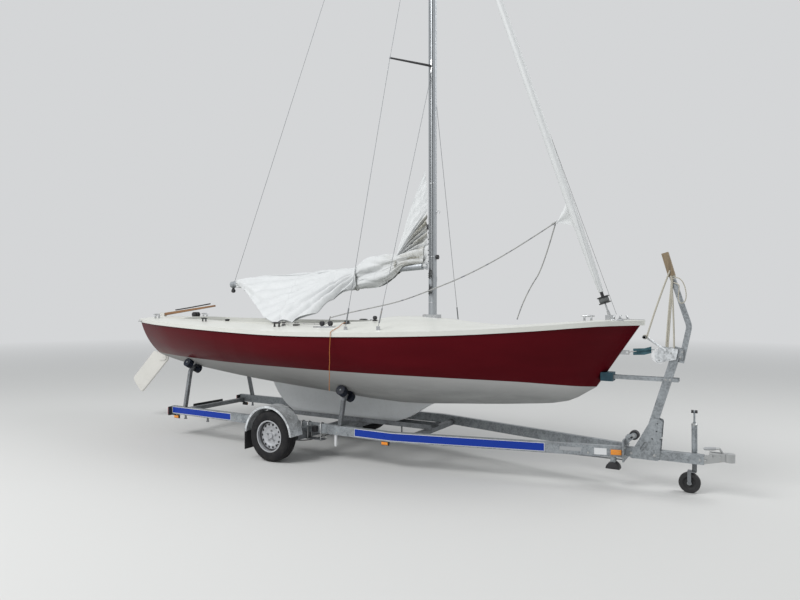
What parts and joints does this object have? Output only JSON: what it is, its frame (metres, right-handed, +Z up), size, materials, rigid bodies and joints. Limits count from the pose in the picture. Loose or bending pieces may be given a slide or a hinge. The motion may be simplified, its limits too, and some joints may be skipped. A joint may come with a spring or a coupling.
{
  "type": "open day keelboat on a road trailer",
  "caption": "Open day-sailing keelboat with mast up, furled jib, lowered mainsail and kicked-up rudder, standing on its single-axle road trailer.",
  "frame": {"origin": "floor under the middle of the bounding box of boat and trailer", "axes": "+Z up, +X towards the bow and the tow coupling, +Y to port"},
  "size_m": [7.947, 2.1231, 8.516],
  "materials": {
    "hull_gelcoat": "dark red topsides, pale grey bottom below a white boot line",
    "deck_gelcoat": "satin off-white gelcoat",
    "keel_paint": "pale grey paint",
    "rudder_white": "white gelcoat",
    "tiller_wood": "varnished ash",
    "spar_alloy": "satin anodised",
    "wire": "stainless wire rope",
    "sailcloth": "white sailcloth",
    "stainless": "polished stainless",
    "black_fitting": "black moulded plastic",
    "galvanised": "hot-dip galvanised steel",
    "tyre": "road tyre rubber",
    "wheel_steel": "silver-painted steel wheel",
    "roller_rubber": "blue-black rubber",
    "rest_wood": "bare timber block",
    "orange_line": "orange braided line",
    "white_rope": "cream braided rope",
    "flap_rubber": "black rubber sheet"
  },
  "bodies": {
    "boat_on_trailer": {"hull": "hull_gelcoat", "deck": "deck_gelcoat", "cockpit_liner": "deck_gelcoat", "keel": "keel_paint", "mast_step": "stainless", "mast": "spar_alloy", "spreader_left": "spar_alloy", "spreader_right": "spar_alloy", "cap_shroud_left": "wire", "cap_shroud_right": "wire", "lower_shroud_left": "wire", "lower_shroud_right": "wire", "furled_jib": "sailcloth", "furler_drum": "black_fitting", "forestay": "wire", "gooseneck": "stainless", "side_rail_left": "galvanised", "side_rail_right": "galvanised", "cross_members": "galvanised", "keel_channel": "galvanised", "front_plate": "galvanised", "drawbar": "galvanised", "coupling": "galvanised", "axle": "galvanised", "mudguard_left": "galvanised", "mudguard_right": "galvanised", "mudguard_bracket_left": "galvanised", "mudguard_bracket_right": "galvanised", "support_posts_front": "galvanised", "support_posts_rear": "galvanised", "support_rollers_front": "roller_rubber", "support_rollers_rear": "roller_rubber", "winch_post": "galvanised", "winch_gussets": "galvanised", "winch": "galvanised", "bow_stop": "galvanised", "mast_rest": "galvanised", "jockey_tube": "galvanised", "rudder_gudgeons": "stainless", "stay_fittings": "stainless", "deck_fittings": "black_fitting", "hanging_line": "orange_line", "rest_rope": "white_rope", "mast_rest_block": "rest_wood", "bow_rubbers": "roller_rubber", "mudflaps": "flap_rubber"},
    "wheel_left": {"tyre_left": "tyre", "rim_left": "wheel_steel"},
    "wheel_right": {"tyre_right": "tyre", "rim_right": "wheel_steel"},
    "rudder": {"rudder_head": "rudder_white", "tiller": "tiller_wood", "rudder_pintles": "stainless"},
    "blade": {"rudder_blade": "rudder_white"},
    "boom": {"boom": "spar_alloy", "mainsail": "sailcloth", "topping_lift": "wire"},
    "jockey_leg": {"jockey_inner_tube": "galvanised"},
    "jockey_swivel": {"jockey_fork": "galvanised"},
    "jockey_wheel": {"jockey_wheel": "black_fitting"}
  },
  "joints": [
    {"name": "wheel_left_spin", "type": "hinge", "parent": "boat_on_trailer", "child": "wheel_left", "pos_m": [-0.39, 0.95, 0.273], "axis": [0, 1, 0], "continuous": true},
    {"name": "wheel_right_spin", "type": "hinge", "parent": "boat_on_trailer", "child": "wheel_right", "pos_m": [-0.39, -0.95, 0.273], "axis": [0, 1, 0], "continuous": true},
    {"name": "rudder_steer", "type": "hinge", "parent": "boat_on_trailer", "child": "rudder", "pos_m": [-3.275, 0, 1.2], "axis": [0, 0, 1], "range_deg": [-40, 40]},
    {"name": "blade_lift", "type": "hinge", "parent": "rudder", "child": "blade", "pos_m": [-3.3, 0, 0.92], "axis": [0, 1, 0], "range_deg": [-48.2, 30]},
    {"name": "boom_swing", "type": "hinge", "parent": "boat_on_trailer", "child": "boom", "pos_m": [0.9765, 0, 2.105], "axis": [0, 0, 1], "range_deg": [-50, 50]},
    {"name": "jockey_lift", "type": "slide", "parent": "boat_on_trailer", "child": "jockey_leg", "axis": [0, 0, 1], "range_m": [0, 0.08]},
    {"name": "jockey_turn", "type": "hinge", "parent": "jockey_leg", "child": "jockey_swivel", "pos_m": [3.636, 0.078, 0.2], "axis": [0, 0, 1], "continuous": true},
    {"name": "jockey_wheel_spin", "type": "hinge", "parent": "jockey_swivel", "child": "jockey_wheel", "pos_m": [3.596, 0.078, 0.09], "axis": [0, 1, 0], "continuous": true}
  ]
}
